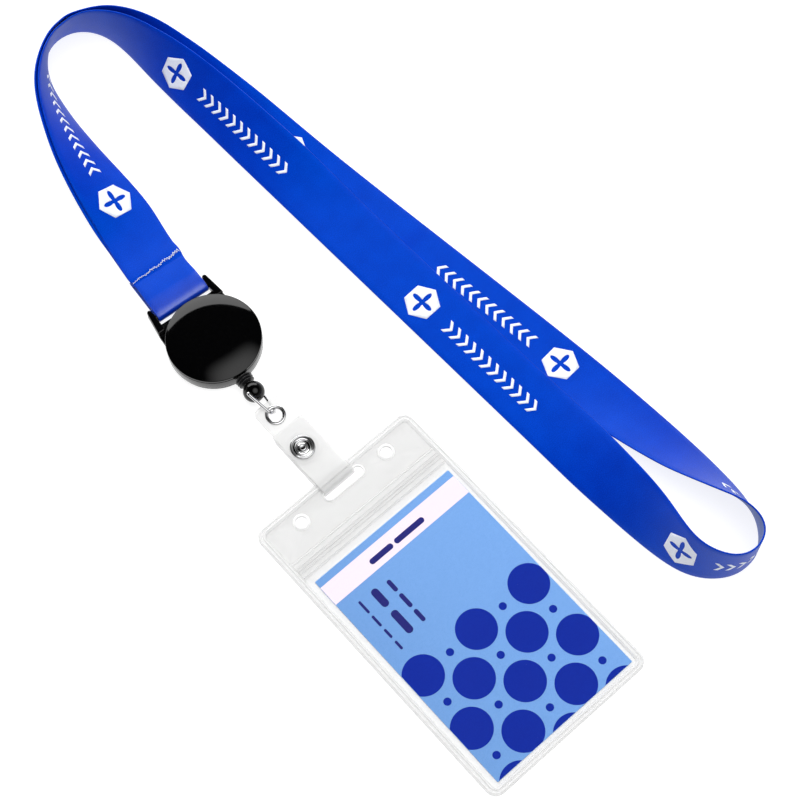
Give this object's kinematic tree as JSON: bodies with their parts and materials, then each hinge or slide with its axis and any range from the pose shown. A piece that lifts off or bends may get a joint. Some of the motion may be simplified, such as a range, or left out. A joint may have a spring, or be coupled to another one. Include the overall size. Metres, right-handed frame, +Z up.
{
  "type": "lanyard badge holder",
  "caption": "Neck ribbon with a round retractable reel, a wire loop and snap strap, and a clear zip-top vinyl card holder, laid on its back.",
  "frame": {"origin": "centre of the bounding box's bottom face, on the surface that it lies on", "axes": "+Z up, +Y up the badge towards the reel, +X to the right seen from the front"},
  "size_m": [0.1266, 0.3058, 0.0205],
  "materials": {
    "ribbon_blue": "satin woven ribbon, printed",
    "thread_white": "sewing thread",
    "black_gloss": "high gloss",
    "inner_steel": "plain",
    "bright_steel": "nickel plated",
    "white_plastic": "moulded",
    "cord_black": "braided",
    "black_rubber": "moulded",
    "clear_vinyl": "clear flexible sheet",
    "card_print": "printed card"
  },
  "bodies": {
    "reel": {"back_plate": "black_gloss", "rear_case": "black_gloss", "front_cover": "black_gloss", "spool_axle": "inner_steel", "spiral_spring": "inner_steel", "cord_exit_bush": "inner_steel"},
    "spool": {"spool": "white_plastic", "cord_winding": "cord_black"},
    "puller": {"cord_lead": "cord_black", "cord_boot": "black_rubber", "cord_knot": "cord_black"},
    "ball": {"pull_ball": "black_gloss"},
    "wire": {"wire_loop": "bright_steel"},
    "strap": {"strap_back": "clear_vinyl", "eyelet_barrel": "bright_steel", "eyelet_washer": "bright_steel", "snap_stud": "bright_steel", "snap_post": "bright_steel"},
    "flap": {"strap_flap": "clear_vinyl", "snap_cap": "bright_steel", "snap_socket": "bright_steel"},
    "holder": {"holder_back": "clear_vinyl", "holder_front": "clear_vinyl", "header_patch": "clear_vinyl", "zip_track": "clear_vinyl"},
    "lip": {"zip_lip": "clear_vinyl"},
    "card": {"card_insert": "card_print"},
    "ribbon": {"ribbon_fold": "ribbon_blue", "ribbon_seam_leg": "ribbon_blue", "ribbon_left_turn": "ribbon_blue", "ribbon_upper_leg": "ribbon_blue", "ribbon_right_turn": "ribbon_blue", "ribbon_lower_leg": "ribbon_blue", "ribbon_outer_turn": "ribbon_blue", "ribbon_outer_leg": "ribbon_blue", "seam_stitching": "thread_white"}
  },
  "joints": [
    {"name": "ribbon_swing", "type": "hinge", "parent": "reel", "child": "ribbon", "pos_m": [-0.02777, 0.04047, 0.0019], "axis": [0.9962, -0.0872, 0], "range_deg": [-60, 60]},
    {"name": "cord_pull", "type": "slide", "parent": "reel", "child": "puller", "axis": [-0.0872, -0.9962, 0], "range_m": [0, 0.6], "stiffness_N_per_m": 2, "springref_m": -0.6},
    {"name": "spool_spin", "type": "hinge", "parent": "reel", "child": "spool", "pos_m": [-0.0295, 0.0207, 0.004], "axis": [0, 0, 1], "range_deg": [0, 3900]},
    {"name": "ball_swivel", "type": "hinge", "parent": "puller", "child": "ball", "pos_m": [-0.03148, -0.00196, 0.0044], "axis": [0.0872, 0.9962, 0], "continuous": true},
    {"name": "wire_swing", "type": "hinge", "parent": "ball", "child": "wire", "pos_m": [-0.03148, -0.00196, 0.0044], "axis": [0.615, 0.0827, -0.7842], "range_deg": [-45, 45]},
    {"name": "strap_swing", "type": "hinge", "parent": "wire", "child": "strap", "pos_m": [-0.03139, -0.01265, 0.00334], "axis": [0.0008, -0.0986, 0.9951], "range_deg": [-40, 5]},
    {"name": "flap_open", "type": "hinge", "parent": "strap", "child": "flap", "pos_m": [-0.03115, -0.04263, 0.00419], "axis": [1, 0.0082, 0], "range_deg": [0, 110]},
    {"name": "badge_swing", "type": "hinge", "parent": "strap", "child": "holder", "pos_m": [-0.03115, -0.04252, 0.00214], "axis": [1, 0.0082, 0], "range_deg": [-5, 5]},
    {"name": "lip_open", "type": "hinge", "parent": "holder", "child": "lip", "pos_m": [-0.0309, -0.06162, 0.0026], "axis": [1, 0, 0], "range_deg": [0, 50]},
    {"name": "card_slide", "type": "slide", "parent": "holder", "child": "card", "axis": [0, 0.9999, 0.0131], "range_m": [0, 0.0035]}
  ],
  "couplings": [
    {"joint": "spool_spin", "follows": "cord_pull", "rad_per_m": 111.11}
  ]
}
